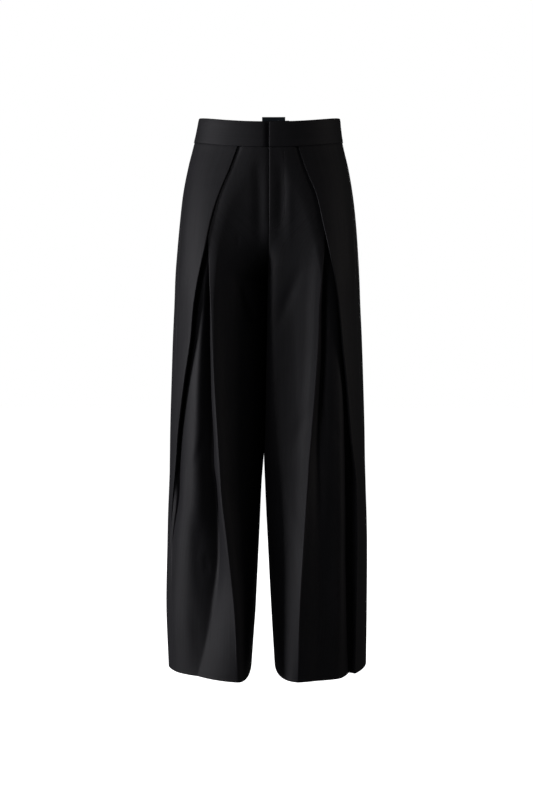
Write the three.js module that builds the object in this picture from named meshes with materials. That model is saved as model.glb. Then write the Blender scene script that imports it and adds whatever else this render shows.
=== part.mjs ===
// Wide-leg trousers with one deep inverted pleat in each front, hollow as when worn, with no wearer.
// Millimetres, +Z up. The origin is the centre of the waist opening, level with the band's top edge at
// the sides. The front faces -Y, and the wearer's right leg is on -X.
import * as THREE from "three";

// Cloth and making
const CLOTH = 1.0; // wall of one layer of suiting
const BAND_WALL = 2.6; // waistband: two layers and a stiffener
const SEAM_GAP = 0.3; // between pieces at a seam
const LAYER_PITCH = 2.3; // from layer to layer where the pleat is pressed flat
const BAND_HEIGHT = 44;
const FRONT_DIP = 13; // how far the waist edge dips at centre front
const FOREMOST_Y = 98; // of the waist seam, where the edge dips most
const DIP_FADE = 120; // the dip is gone this far below the band
const HEM_TURN = 36; // depth of the turned-up hem

// Heights that the whole cut hangs on
const SEAM_Z = -BAND_HEIGHT; // waist seam at the sides
const CURVE_TOP_Z = -194; // from here down the centre seams curve to the crotch
const CROTCH_Z = -290;
const HEM_Z = -1018;
const CROTCH_Y = 15; // where the four leg seams meet
const HEM_INSEAM_Y = 24;
const CROTCH_CURVE = 2.3; // roundness of the crotch seam seen from the side

// The garment's outline at each height: y of its foremost and rearmost points, y of the outermost
// point of the right and left leg, y of the side seam, and how round the outer back quarter is.
const FIGURE_COLUMNS = ["z", "front", "back", "outRight", "outLeft", "seam", "roundBack"];
const FIGURE = [
  [2, -94, 95, 0, 0, -6, 2],
  [-44, -98, 100, 0, 0, -8, 2],
  [-90, -103, 111, 3, 3, -12, 2],
  [-140, -108, 123, 8, 8, -20, 2.1],
  [-190, -112, 131, 12, 12, -28, 2.1],
  [-240, -116, 132, 14, 14, -36, 2.1],
  [-290, -119, 129, 14, 14, -42, 2.1],
  [-340, -120, 124, 12, 12, -44, 2.1],
  [-400, -121, 120, 10, 10, -44, 2.1],
  [-480, -122, 118, 8, 8, -38, 2.1],
  [-570, -122, 118, 6, 8, -22, 2.1],
  [-670, -122, 120, 5, 10, 8, 2.1],
  [-780, -122, 123, 2, 14, 38, 2.1],
  [-900, -122, 126, -4, 18, 50, 2.1],
  [HEM_Z, -121, 128, -10, 22, 56, 2.1],
];

// Each leg at each height: how far from the centre line its outermost, foremost, inner and rearmost
// points are, how far its centre panel falls back towards the fly, and how round its inner and outer
// front quarters are. The inner edges lean to the wearer's right together, as the legs hang.
const LEG_COLUMNS = ["z", "outer", "crest", "inner", "rear", "fall", "innerRound", "outerRound"];
const RIGHT_LEG = [
  [2, 126, 10, 0.15, 10, 0, 2.4, 2],
  [-44, 136, 10, 0.15, 12, 0, 2.4, 2],
  [-90, 148, 30, 0.15, 24, 0, 2.4, 2],
  [-140, 158, 56, 0.15, 40, 1, 2.4, 2],
  [-190, 164, 78, 0.3, 54, 4, 2.4, 2],
  [-240, 169, 90, 1.7, 62, 10, 2.4, 1.95],
  [-290, 173, 95, 2.8, 66, 17, 2.4, 1.9],
  [-340, 175, 98, 3.8, 70, 21, 2.4, 1.85],
  [-400, 178, 98, 4.8, 76, 25, 2.4, 1.8],
  [-480, 181, 98, 6.4, 82, 27, 2.4, 1.75],
  [-570, 184, 94, 8.2, 88, 28, 2.4, 1.7],
  [-620, 185, 91, 10.2, 92, 27, 2.4, 1.68],
  [-670, 186, 88, 14, 95, 25, 2.4, 1.66],
  [-780, 190, 76, 19, 100, 18, 2.4, 1.64],
  [-900, 193, 62, 25, 104, 9, 2.4, 1.7],
  [HEM_Z, 189, 57, 33, 106, 0, 2.4, 1.66],
];
const LEFT_LEG = [
  [2, 128, 10, 0.15, 10, 0, 2.4, 2],
  [-44, 134, 10, 0.15, 12, 0, 2.4, 2],
  [-90, 145, 26, 0.15, 24, 0, 2.6, 2],
  [-140, 154, 50, 0.15, 40, 1, 3.2, 2],
  [-190, 160, 70, 0.3, 54, 4, 5, 2],
  [-240, 164, 84, -0.4, 62, 10, 8, 1.95],
  [-290, 167, 92, -1.5, 64, 17, 11, 1.9],
  [-340, 169, 89, -2.5, 66, 21, 12, 1.9],
  [-400, 172, 88, -3.5, 70, 23, 11, 1.9],
  [-480, 175, 83, -5.1, 74, 25, 9, 1.95],
  [-570, 178, 76, -6.9, 78, 27, 6, 2],
  [-620, 179, 71, -8.6, 80, 28, 5, 2.05],
  [-670, 180, 70, -7, 82, 30, 4, 2.1],
  [-780, 183, 63, -2, 88, 30, 3.2, 2.15],
  [-900, 184, 56, 4, 93, 22, 2.8, 2.1],
  [HEM_Z, 184.5, 52, 11, 97, 8, 2.6, 2],
];
const BACK_INNER_ROUND = 2.4; // roundness of the inner back quarters
const FALL_CURVE = 1.8; // the centre panels are level beside the fly and steepen towards the crease
const OUTLINE_STEPS = 48; // stretches in a quarter of the outline

// The pleat at each height. From the fly outwards the cloth runs to the crease, folds back behind
// itself to the inner valley, comes out again over the crown and the brow, drops into the outer valley
// behind the flap, returns to the flap's edge and runs over the flap to the side seam. Each point has
// an X, read on the outline, and a depth D behind it. A gap is the room between the two sides of a
// fold, innerWide is the floor of the inner valley, and soft is how far from a fold its rounding
// starts.
const PLEAT_COLUMNS = ["z", "creaseX", "creaseD", "creaseGap", "innerX", "innerD", "innerWide",
  "crownX", "crownD", "browX", "browD", "outerX", "outerD", "outerGap", "flapX", "flapD", "flapGap", "soft"];
const RIGHT_PLEAT = [
  [-44, 100, 4.6, 2.3, 62, 6.9, 0, 78, 9.2, 96, 9.2, 112, 9.2, 6.9, 56, 0, 2.3, 4],
  [-90, 106, 1.4, 2.3, 66, 3.7, 0, 84, 6, 104, 6, 122, 6, 6.9, 71, -3.2, 2.3, 4],
  [-140, 110, 0.4, 2.3, 74, 2.9, 0, 92, 5.4, 112, 5.2, 133, 5, 6.9, 88, -5.4, 2.3, 4],
  [-190, 108, 0, 2.3, 86, 5.2, 1, 99, 6.6, 118, 5.9, 141, 5.4, 6.2, 102, -7, 2.3, 4],
  [-240, 106, -1, 2.4, 101, 14, 3, 109, 10, 123, 8.5, 145, 9, 5.5, 112, -7, 2.4, 5],
  [-290, 105, -1, 2.6, 110, 22, 4, 118, 10, 127, 9.5, 152, 12, 6, 123, -6, 2.6, 6],
  [-340, 103, -1, 2.8, 115, 28, 5.5, 121, 10.5, 130, 9.5, 157, 14, 7, 132, -4.5, 2.8, 7],
  [-400, 101, -2, 3, 118, 31, 6.5, 126, 9.5, 138, 8.5, 162, 14, 7, 139, -3, 3, 8],
  [-480, 98, -3, 3.4, 118, 34, 6, 130, 7.5, 146, 6, 169, 12, 7, 151, -4, 3.4, 9],
  [-570, 93, -3, 4, 113, 32, 8, 132, 4.5, 152, 3, 172, 10, 6, 163, -4, 3.6, 10],
  [-620, 90, -3, 4.5, 111, 29, 9, 134, 2, 154, 1, 172, 9, 5, 168, -3, 3, 11],
  [-670, 87, -3, 5, 106, 33, 8, 133, 3, 156, -2, 172, 9, 5, 173, -3, 2.6, 12],
  [-780, 74, -1, 4, 104, 35, 8, 147, 3, 164, -3, 180, 2, 1.4, 183, -0.8, 0.8, 14],
  [-900, 62, 0, 2, 110, 24, 10, 151, 5, 171, -1, 182, 0.4, 0.3, 187, 0, 0.2, 24],
  [HEM_Z, 57, 0, 0.2, 130, 9, 8, 156, 4, 170, 0, 178, 0.2, 0.1, 183, 0, 0.1, 30],
];
const LEFT_PLEAT = [
  [-44, 98, 4.6, 2.3, 58, 6.9, 0, 75, 9.2, 94, 9.2, 110, 9.2, 6.9, 52, 0, 2.3, 4],
  [-90, 101, 2.4, 2.3, 62, 4.7, 0, 82, 7, 101, 7, 120, 7, 6.9, 66, -2.2, 2.3, 4],
  [-140, 102, 1.6, 2.3, 68, 4.1, 0, 87, 6.6, 107, 6.4, 129, 6.2, 6.9, 83, -3.5, 2.3, 4],
  [-190, 99, 0.6, 2.3, 78, 6.4, 0.5, 91, 8.4, 111, 7.2, 135, 6.2, 6.2, 94, -4.6, 2.3, 4],
  [-240, 97, -1, 2.4, 94, 15, 3, 103, 12, 116, 9.5, 139, 9.5, 5.5, 105, -5, 2.4, 5],
  [-290, 93, -2, 2.6, 99, 20, 5, 110, 14, 122, 10.5, 145, 12, 6, 115, -4.5, 2.6, 6],
  [-340, 90, -2, 2.8, 98, 22, 5, 111, 14, 127, 8.5, 150, 14, 7, 123, -3, 2.8, 7],
  [-400, 88, -2, 3, 98, 23, 4, 112, 12, 129, 6, 153, 16, 8, 129, -3, 3, 8],
  [-480, 83, -2, 3.4, 95, 22, 5, 112, 8.5, 131, 2.5, 156, 18, 9, 137, -4, 3.4, 8],
  [-570, 76, -1, 4, 91, 18, 6, 111, 5, 131, -1, 157, 24, 16, 145, -4, 3.6, 8],
  [-670, 69, -1, 4, 88, 13, 8, 109, 5, 131, -3, 158, 25, 17, 156, -4, 3.6, 8],
  [-780, 62, -1, 3, 84, 8, 10, 109, 5, 131, -4, 159, 25, 17, 158, -4, 3.4, 8],
  [-900, 55, 0, 2, 80, 7, 12, 105, 4, 131, -4, 159, 22, 15, 158, -3, 3, 8],
  [HEM_Z, 52, 0, 0.2, 78, 4, 12, 104, 3, 130, -2, 158, 12, 8, 158, -1.5, 3.6, 8],
];

// Where the centre panel goes beneath the flap, this far inside its edge, and where it nears the
// crease once the crease is free of the flap
const CENTRE_DIP = { start: 9, end: 1, soft: [10, 8] };
const CREASE_DIP = { start: 24, end: 10 };

const FREE_SPAN = 12; // how far the flap's edge moves past the crease from shut to open
const FOLD_GAP = 2; // a fold with less room than this is drawn out along the cloth as it dies away
const DRAWN_OUT = 1.5; // by this much for each millimetre of room it lacks
const FOLD_TURN = 0.2; // how far the cloth runs on round a pressed fold
const UNDER_TURN = 0.1; // and round the folds that lie beneath
const OPEN_PITCH = 1; // between the two sides of the inner valley where the pleat stands open

// Where the flap starts to come back to the side seam
const SHOULDER = { beyond: 8, share: 0.75, soft: 10 };

// Sections are cut evenly this far from the crest, or this share of the way, and the rest runs into
// the crotch.
const CROTCH_SHARE = 62;
const EVEN_SHARE = 0.6;

// Heights at which the panels are cut into sections, closer together round the crotch
const SECTION_Z = [SEAM_Z - SEAM_GAP, -90, -140, CURVE_TOP_Z, -222, -246, -268, -281, -287.5, CROTCH_Z,
  -315, -345, -400, -480, -570, -620, -670, -725, -780, -900];

// Soft vertical folds in the back of each leg: place as a share of the way from side seam to inseam,
// width and greatest depth. They deepen from the seat down to the hem.
const BACK_FOLD_COLUMNS = ["share", "width", "depth"];
const BACK_FOLDS = [
  [0.3, 0.16, 9],
  [0.56, 0.15, 7],
  [0.8, 0.13, 5],
];
const BACK_FOLD_TOP_Z = -240;

// Fly, zip, hook and label
const UNDERLAP = 36; // how far the right side runs on beneath the left one
const UNDERLAP_DEPTH = 4.4; // depth of the band's extension behind the band
const UNDERLAP_JOIN = 1.5; // where the extension ends beside the band's own line
const LAP_RUN = 9; // length over which the right band goes down to that depth
const ZIP = { half: 12, depth: 1.7, wall: 1, bottom: -176 };
const SHIELD = { depth: 3.2, wall: 1.2, bottom: -182, from: -4 };
const HOOK = { from: 9, to: 24, depth: 2.2, wall: 1, top: -15, bottom: -29 };
const LABEL = { centre: 9, width: 44, top: 12, bottom: -28, wall: 0.8 };

const clamp = (value, low, high) => Math.min(high, Math.max(low, value));
const smoothstep = (t) => clamp(t, 0, 1) ** 2 * (3 - 2 * clamp(t, 0, 1));
const mix = (a, b, t) => a + (b - a) * t;

// Reads every column of a table at height z, on a smooth curve between its rows that never overshoots
// them.
function rowAt(columns, table, z) {
  let i = 0;
  while (i < table.length - 2 && z < table[i + 1][0]) i++;
  const span = table[i + 1][0] - table[i][0];
  const t = clamp((z - table[i][0]) / span, 0, 1);
  const slope = (k, c) => (table[k + 1][c] - table[k][c]) / (table[k + 1][0] - table[k][0]);
  const tangent = (k, c) => {
    if (k === 0 || k === table.length - 1) return slope(Math.max(k - 1, 0), c);
    const before = slope(k - 1, c);
    const after = slope(k, c);
    return before * after <= 0 ? 0 : (2 * before * after) / (before + after);
  };
  const row = {};
  columns.forEach((name, c) => {
    const rise = table[i + 1][c] - table[i][c];
    const leave = tangent(i, c) * span;
    const arrive = tangent(i + 1, c) * span;
    const square = 3 * rise - 2 * leave - arrive;
    const cube = leave + arrive - 2 * rise;
    row[name] = table[i][c] + t * leave + t ** 2 * square + t ** 3 * cube;
  });
  return row;
}

// y of the centre seam above the crotch, and of the inseam below it, on the front (-1) or back (+1)
// panels.
function innerSeamY(z, face, straightY) {
  const apart = (face * SEAM_GAP) / 2;
  if (z <= CROTCH_Z) return mix(CROTCH_Y, HEM_INSEAM_Y, (CROTCH_Z - z) / (CROTCH_Z - HEM_Z)) + apart;
  const down = clamp((CURVE_TOP_Z - z) / (CURVE_TOP_Z - CROTCH_Z), 0, 1);
  const reach = (1 - down ** CROTCH_CURVE) ** (1 / CROTCH_CURVE);
  return CROTCH_Y + apart + (straightY - CROTCH_Y) * reach;
}

// A rounded quarter between two points, leaving the first one along y or, if not, along x.
function quarter(from, to, round, alongY, steps) {
  return Array.from({ length: steps + 1 }, (_, i) => {
    const angle = (Math.PI / 2) * (i / steps);
    const early = Math.sin(angle) ** (2 / round);
    const late = 1 - Math.max(Math.cos(angle), 0) ** (2 / round);
    const [tx, ty] = alongY ? [late, early] : [early, late];
    return [mix(from[0], to[0], tx), mix(from[1], to[1], ty)];
  });
}

// The quarter from the inner edge of a leg to its foremost or rearmost point. Above the crotch only
// the part beyond the centre seam is there, and it is drawn out to meet the other leg. Fall is how far
// it lies back at its inner end.
function innerQuarter(inner, seamY, to, round, fall, steps) {
  const nearlyWhole = 0.9999;
  const cut = clamp((seamY - CROTCH_Y) / (to[1] - CROTCH_Y), 0, nearlyWhole);
  const first = Math.asin(cut ** (round / 2));
  const run = (angle) => 1 - Math.max(Math.cos(angle), 0) ** (2 / round);
  const startY = cut > 0 ? CROTCH_Y : seamY;
  return Array.from({ length: steps + 1 }, (_, i) => {
    const angle = mix(first, Math.PI / 2, i / steps);
    const tx = (run(angle) - run(first)) / (1 - run(first));
    const out = Math.sin(angle) ** (2 / round);
    return [mix(inner, to[0], tx), mix(startY, to[1], out) + fall * (1 - tx ** FALL_CURVE) * out];
  });
}

// The outline of one side of the garment at height z, from its inner front edge round the outside to
// its inner back edge, with x counted from the centre line. It is read by the distance u along it and
// a depth behind it.
function outlineAt(side, z) {
  const figure = rowAt(FIGURE_COLUMNS, FIGURE, z);
  const leg = rowAt(LEG_COLUMNS, side.leg, z);
  const out = figure[side.outColumn];
  const steps = OUTLINE_STEPS;
  const front = [leg.crest, figure.front];
  const outer = [leg.outer, out];
  const rear = [leg.rear, figure.back];
  const points = [
    ...innerQuarter(leg.inner, innerSeamY(z, -1, figure.front), front, leg.innerRound, leg.fall, steps),
    ...quarter(front, outer, leg.outerRound, false, steps).slice(1),
    ...quarter(outer, rear, figure.roundBack, true, steps).slice(1),
    ...innerQuarter(leg.inner, innerSeamY(z, 1, figure.back), rear, BACK_INNER_ROUND, 0, steps)
      .reverse()
      .slice(1),
  ];
  const along = [0];
  for (let i = 1; i < points.length; i++) {
    along.push(along[i - 1] + Math.hypot(points[i][0] - points[i - 1][0], points[i][1] - points[i - 1][1]));
  }
  const total = along.at(-1);
  const place = (u) => {
    let i = 0;
    while (i < along.length - 2 && along[i + 1] < u) i++;
    const t = (u - along[i]) / Math.max(along[i + 1] - along[i], 1e-9);
    return [mix(points[i][0], points[i + 1][0], t), mix(points[i][1], points[i + 1][1], t)];
  };
  const firstAt = (start, height) => {
    let i = start;
    while (i < points.length - 2 && height(points[i + 1]) < 0) i++;
    const [a, b] = [height(points[i]), height(points[i + 1])];
    return mix(along[i], along[i + 1], clamp(a / (a - b || 1), 0, 1));
  };
  return {
    total,
    frontAtX: (x) => firstAt(0, (p) => p[0] - x),
    backAtX: (x) => firstAt(2 * steps, (p) => x - p[0]),
    seam: firstAt(steps, (p) => p[1] - figure.seam),
    rear: along[3 * steps],
    inset: (u, depth) => {
      const reach = 2;
      const [ax, ay] = place(Math.max(u - reach, 0));
      const [bx, by] = place(Math.min(u + reach, total));
      const length = Math.hypot(bx - ax, by - ay) || 1;
      const [px, py] = place(clamp(u, 0, total));
      return [side.sign * (px - ((by - ay) / length) * depth), py + ((bx - ax) / length) * depth];
    },
  };
}

// Rounds the corners of a path of keys {u, d, soft, steps}, where steps is how many stretches lead up
// to the key.
function roundedPath(keys) {
  const cornerSteps = 2;
  const mostOfStretch = 0.4; // so that the roundings at its two ends never meet
  const toward = (a, b, length) => {
    const t = length / (Math.hypot(b.u - a.u, b.d - a.d) || 1);
    return { u: mix(a.u, b.u, t), d: mix(a.d, b.d, t) };
  };
  const most = (a, b) => mostOfStretch * Math.hypot(b.u - a.u, b.d - a.d);
  const path = [{ u: keys[0].u, d: keys[0].d }];
  for (let i = 1; i < keys.length; i++) {
    const key = keys[i];
    const next = keys[i + 1];
    const setback = next ? Math.min(key.soft, most(keys[i - 1], key), most(key, next)) : 0;
    const start = toward(key, keys[i - 1], setback);
    const from = path.at(-1);
    for (let s = 1; s <= key.steps; s++) {
      path.push({ u: mix(from.u, start.u, s / key.steps), d: mix(from.d, start.d, s / key.steps) });
    }
    if (key.soft === 0) continue;
    const end = toward(key, next, setback);
    for (let s = 1; s <= cornerSteps; s++) {
      const t = s / cornerSteps;
      const bend = (name) => (1 - t) ** 2 * start[name] + 2 * t * (1 - t) * key[name] + t ** 2 * end[name];
      path.push({ u: bend("u"), d: bend("d") });
    }
  }
  return path;
}

// The folded path of a front panel at height z, from its inner edge to the side seam.
function pleatedPath(outline, side, z) {
  const p = rowAt(PLEAT_COLUMNS, side.pleat, z);
  const crease = outline.frontAtX(p.creaseX);
  const inner = outline.frontAtX(p.innerX);
  const outer = outline.frontAtX(p.outerX);
  const flap = outline.frontAtX(p.flapX);
  const seam = outline.seam - SEAM_GAP / 2;
  const shut = smoothstep(0.5 - (flap - crease) / FREE_SPAN);
  const covered = Math.min(flap, crease);
  const shoulder = Math.min(Math.max(outer, flap) + SHOULDER.beyond, mix(flap, seam, SHOULDER.share));
  const drawn = (gap) => DRAWN_OUT * Math.max(0, FOLD_GAP - gap);
  const dip = mix(crease - CREASE_DIP.start, covered - CENTRE_DIP.start, shut);
  const dipEnd = mix(crease - CREASE_DIP.end, covered - CENTRE_DIP.end, shut);
  const even = Math.min(CROTCH_SHARE, EVEN_SHARE * dip);
  const valleyRise = mix(OPEN_PITCH, LAYER_PITCH, shut);
  const creaseBack = crease + FOLD_TURN + drawn(p.creaseGap);
  const outerBack = outer + FOLD_TURN + drawn(p.outerGap);
  const flapBack = flap + UNDER_TURN - drawn(p.flapGap);
  return roundedPath([
    { u: 0, d: 0 },
    { u: dip - even, d: 0, soft: 0, steps: 5 },
    { u: dip, d: 0, soft: CENTRE_DIP.soft[0], steps: 4 },
    { u: dipEnd, d: p.creaseD, soft: CENTRE_DIP.soft[1], steps: 1 },
    { u: crease, d: p.creaseD, soft: p.soft, steps: 2 },
    { u: creaseBack, d: p.creaseD + p.creaseGap, soft: p.soft, steps: 1 },
    { u: inner, d: p.innerD, soft: p.soft, steps: 2 },
    { u: inner + p.innerWide + UNDER_TURN, d: p.innerD + valleyRise, soft: p.soft, steps: 1 },
    { u: outline.frontAtX(p.crownX), d: p.crownD, soft: p.soft, steps: 2 },
    { u: outline.frontAtX(p.browX), d: p.browD, soft: p.soft, steps: 1 },
    { u: outer, d: p.outerD, soft: p.soft, steps: 2 },
    { u: outerBack, d: p.outerD - p.outerGap, soft: p.soft, steps: 1 },
    { u: flapBack, d: p.flapD + p.flapGap, soft: p.soft, steps: 2 },
    { u: flap, d: p.flapD, soft: p.soft, steps: 1 },
    { u: shoulder, d: p.flapD, soft: SHOULDER.soft, steps: 2 },
    { u: seam, d: 0, soft: 0, steps: 4 },
  ]);
}

// The path of a back panel, from the side seam along the outline to its inner edge, with its soft folds.
function backPath(outline, side, z) {
  const from = outline.seam + SEAM_GAP / 2;
  const even = Math.min(CROTCH_SHARE, EVEN_SHARE * (outline.total - outline.rear));
  const stops = [from, outline.rear, outline.rear + even, outline.total];
  const counts = [10, 4, 5];
  const deepen = smoothstep((BACK_FOLD_TOP_Z - z) / (BACK_FOLD_TOP_Z - HEM_Z));
  const depthAt = (u) => {
    const share = (u - from) / (outline.total - from);
    let d = 0;
    for (const values of BACK_FOLDS) {
      const fold = Object.fromEntries(BACK_FOLD_COLUMNS.map((name, c) => [name, values[c]]));
      d += deepen * fold.depth * smoothstep(1 - Math.abs(share - fold.share) / fold.width);
    }
    return d;
  };
  const path = [{ u: from, d: 0 }];
  counts.forEach((count, part) => {
    for (let s = 1; s <= count; s++) {
      const u = mix(stops[part], stops[part + 1], s / count);
      path.push({ u, d: depthAt(u) });
    }
  });
  return path;
}

const laid = (outline, path) => path.map(({ u, d }) => outline.inset(u, d));

// Points across the front or back at height z, from one x to another, at a depth behind the outline.
function across(z, from, to, depth, steps, back = false) {
  return Array.from({ length: steps + 1 }, (_, i) => {
    const x = mix(from, to, i / steps);
    const outline = outlineAt(x < 0 ? SIDES.right : SIDES.left, z);
    return outline.inset(back ? outline.backAtX(Math.abs(x)) : outline.frontAtX(Math.abs(x)), depth);
  });
}

// Gives a line of points at height z a wall: outside and inside are how far it reaches to either hand
// of the line.
function walled(line, z, outside, inside) {
  return line.map(([x, y], i) => {
    const [ax, ay] = line[Math.max(i - 1, 0)];
    const [bx, by] = line[Math.min(i + 1, line.length - 1)];
    const length = Math.hypot(bx - ax, by - ay) || 1;
    const dipped = smoothstep(1 + (z - SEAM_Z) / DIP_FADE) * FRONT_DIP;
    const point = (reach) => {
      const py = y - ((bx - ax) / length) * reach;
      return [x + ((by - ay) / length) * reach, py, z - dipped * clamp(-py / FOREMOST_Y, 0, 1) ** 2];
    };
    return [point(outside), point(-inside)];
  });
}

// Closes rows of [outside, inside] point pairs into one solid with its faces pointing out.
function wallGeometry(rows) {
  const high = rows.length;
  const wide = rows[0].length;
  const positions = rows.flat(3);
  const index = [];
  const id = (r, c, layer) => (r * wide + c) * 2 + layer;
  const quad = (a, b, c, d) => index.push(a, b, c, a, c, d);
  for (let r = 0; r < high - 1; r++) {
    for (let c = 0; c < wide - 1; c++) {
      quad(id(r, c, 0), id(r, c + 1, 0), id(r + 1, c + 1, 0), id(r + 1, c, 0));
      quad(id(r, c, 1), id(r + 1, c, 1), id(r + 1, c + 1, 1), id(r, c + 1, 1));
    }
    quad(id(r, 0, 0), id(r + 1, 0, 0), id(r + 1, 0, 1), id(r, 0, 1));
    quad(id(r, wide - 1, 0), id(r, wide - 1, 1), id(r + 1, wide - 1, 1), id(r + 1, wide - 1, 0));
  }
  for (let c = 0; c < wide - 1; c++) {
    quad(id(0, c, 0), id(0, c, 1), id(0, c + 1, 1), id(0, c + 1, 0));
    quad(id(high - 1, c, 0), id(high - 1, c + 1, 0), id(high - 1, c + 1, 1), id(high - 1, c, 1));
  }
  const corner = (i) => new THREE.Vector3(...positions.slice(3 * i, 3 * i + 3));
  let volume = 0;
  for (let i = 0; i < index.length; i += 3) {
    volume += corner(index[i]).dot(corner(index[i + 1]).cross(corner(index[i + 2])));
  }
  if (volume < 0) index.reverse();
  const geometry = new THREE.BufferGeometry();
  geometry.setAttribute("position", new THREE.Float32BufferAttribute(positions, 3));
  geometry.setIndex(index);
  geometry.computeVertexNormals();
  return geometry;
}

const SIDES = {
  right: { sign: -1, leg: RIGHT_LEG, pleat: RIGHT_PLEAT, outColumn: "outRight" },
  left: { sign: 1, leg: LEFT_LEG, pleat: LEFT_PLEAT, outColumn: "outLeft" },
};

// A leg panel: its sections from the waist seam down, and below the hem's stitching a second layer on
// the inside.
function legPanel(side, pathAt) {
  const section = (z, layers) => {
    const outline = outlineAt(side, z);
    const inside = CLOTH / 2 + (layers - 1) * CLOTH;
    const [left, right] = side.sign < 0 ? [inside, CLOTH / 2] : [CLOTH / 2, inside];
    return walled(laid(outline, pathAt(outline, side, z)), z, left, right);
  };
  const stitched = HEM_Z + HEM_TURN;
  const stitchedTo = 0.2;
  return wallGeometry([
    ...SECTION_Z.map((z) => section(z, 1)),
    section(stitched, 1),
    section(stitched - stitchedTo, 2),
    section(HEM_Z, 2),
  ]);
}

// A flat piece that runs across the garment between two heights.
function strip(heights, lineAt, wall) {
  return wallGeometry(heights.map((z) => walled(lineAt(z), z, wall / 2, wall / 2)));
}

// One side of the waistband at the front, from the lap to the side seam.
function frontBandLine(side, z) {
  const outline = outlineAt(side, z);
  const steps = 16;
  const closerAtLap = 1.3;
  const lap = side === SIDES.right ? UNDERLAP_DEPTH : 0;
  const end = outline.seam - SEAM_GAP / 2;
  return Array.from({ length: steps + 1 }, (_, i) => {
    const u = end * (i / steps) ** closerAtLap;
    return outline.inset(u, lap * (1 - smoothstep(u / LAP_RUN)));
  });
}

// The whole of the waistband at the back, from side seam to side seam.
function backBandLine(z) {
  const steps = 16;
  const half = (side) => {
    const outline = outlineAt(side, z);
    const start = outline.seam + SEAM_GAP / 2;
    const toCentre = steps - 0.5; // the halves meet half a step to either side of centre back
    return Array.from({ length: steps }, (_, i) => {
      return outline.inset(mix(start, outline.total, i / toCentre), 0);
    });
  };
  return [...half(SIDES.right), ...half(SIDES.left).reverse()];
}

const suiting = { color: 0x1b1b1e, roughness: 0.72, metalness: 0 };
const zipFinish = { color: 0x151517, roughness: 0.7, metalness: 0 };
const steel = { color: 0x8c8c8c, roughness: 0.35, metalness: 0.9 };
const satin = { color: 0x121a22, roughness: 0.6, metalness: 0 };
const whole = new THREE.Group();

function add(name, geometry, finish) {
  const mesh = new THREE.Mesh(geometry, new THREE.MeshStandardMaterial(finish));
  mesh.name = name;
  whole.add(mesh);
}

const bandHeights = [0, SEAM_Z];
const flyHeights = [SEAM_Z - 2 * SEAM_GAP, -90, -140];
const labelHeights = [LABEL.top, 0, LABEL.bottom];
const labelDepth = BAND_WALL / 2 + SEAM_GAP + LABEL.wall / 2;
const labelEnds = [LABEL.centre - LABEL.width / 2, LABEL.centre + LABEL.width / 2];

const bandLeftLine = (z) => frontBandLine(SIDES.left, z);
const underlapLine = (z) => across(z, UNDERLAP, UNDERLAP_JOIN, UNDERLAP_DEPTH, 5);
const bandRightLine = (z) => [...underlapLine(z), ...frontBandLine(SIDES.right, z)];
const zipLine = (z) => across(z, -ZIP.half, ZIP.half, ZIP.depth, 4);
const shieldLine = (z) => across(z, SHIELD.from, UNDERLAP, SHIELD.depth, 6);
const hookLine = (z) => across(z, HOOK.from, HOOK.to, HOOK.depth, 2);
const labelLine = (z) => across(z, ...labelEnds, labelDepth, 8, true);

for (const [name, side] of Object.entries(SIDES)) {
  add(`front_${name}`, legPanel(side, pleatedPath), suiting);
  add(`back_${name}`, legPanel(side, backPath), suiting);
}
add("waistband_front_left", strip(bandHeights, bandLeftLine, BAND_WALL), suiting);
add("waistband_front_right", strip(bandHeights, bandRightLine, BAND_WALL), suiting);
add("waistband_back", strip(bandHeights, backBandLine, BAND_WALL), suiting);
add("fly_zip", strip([...flyHeights, ZIP.bottom], zipLine, ZIP.wall), zipFinish);
add("fly_shield", strip([...flyHeights, SHIELD.bottom], shieldLine, SHIELD.wall), suiting);
add("waist_hook", strip([HOOK.top, HOOK.bottom], hookLine, HOOK.wall), steel);
add("back_label", strip(labelHeights, labelLine, LABEL.wall), satin);

export default whole;
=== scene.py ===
import math

import bpy
import numpy as np
from mathutils.bvhtree import BVHTree
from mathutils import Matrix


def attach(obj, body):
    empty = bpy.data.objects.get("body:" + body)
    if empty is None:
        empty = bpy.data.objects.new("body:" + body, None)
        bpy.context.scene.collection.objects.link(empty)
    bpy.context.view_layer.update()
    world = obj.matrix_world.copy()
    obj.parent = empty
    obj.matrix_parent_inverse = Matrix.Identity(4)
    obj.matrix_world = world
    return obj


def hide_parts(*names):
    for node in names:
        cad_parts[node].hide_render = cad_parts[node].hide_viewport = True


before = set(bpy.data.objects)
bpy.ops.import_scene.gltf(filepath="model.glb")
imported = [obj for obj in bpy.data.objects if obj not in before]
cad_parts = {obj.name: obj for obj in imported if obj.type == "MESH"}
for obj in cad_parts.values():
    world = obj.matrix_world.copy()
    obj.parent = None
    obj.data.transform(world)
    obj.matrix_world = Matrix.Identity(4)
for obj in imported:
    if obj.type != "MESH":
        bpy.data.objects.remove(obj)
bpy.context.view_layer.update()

# Studio. A pale floor well below the hem, a large soft light on the wearer's right that rakes the folds,
# a weak one in front, and the camera a little below the middle of the trousers, tilted down.
camera = bpy.data.objects.new("camera", bpy.data.cameras.new("camera"))
camera.data.lens = 65.65
camera.data.sensor_width = 36
camera.location = (-0.0046, -2.7, -0.24)
camera.rotation_euler = (math.radians(90 - 5.82), 0, 0)
bpy.context.scene.collection.objects.link(camera)
bpy.context.scene.camera = camera
bpy.context.scene.view_settings.view_transform = "Standard"


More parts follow.
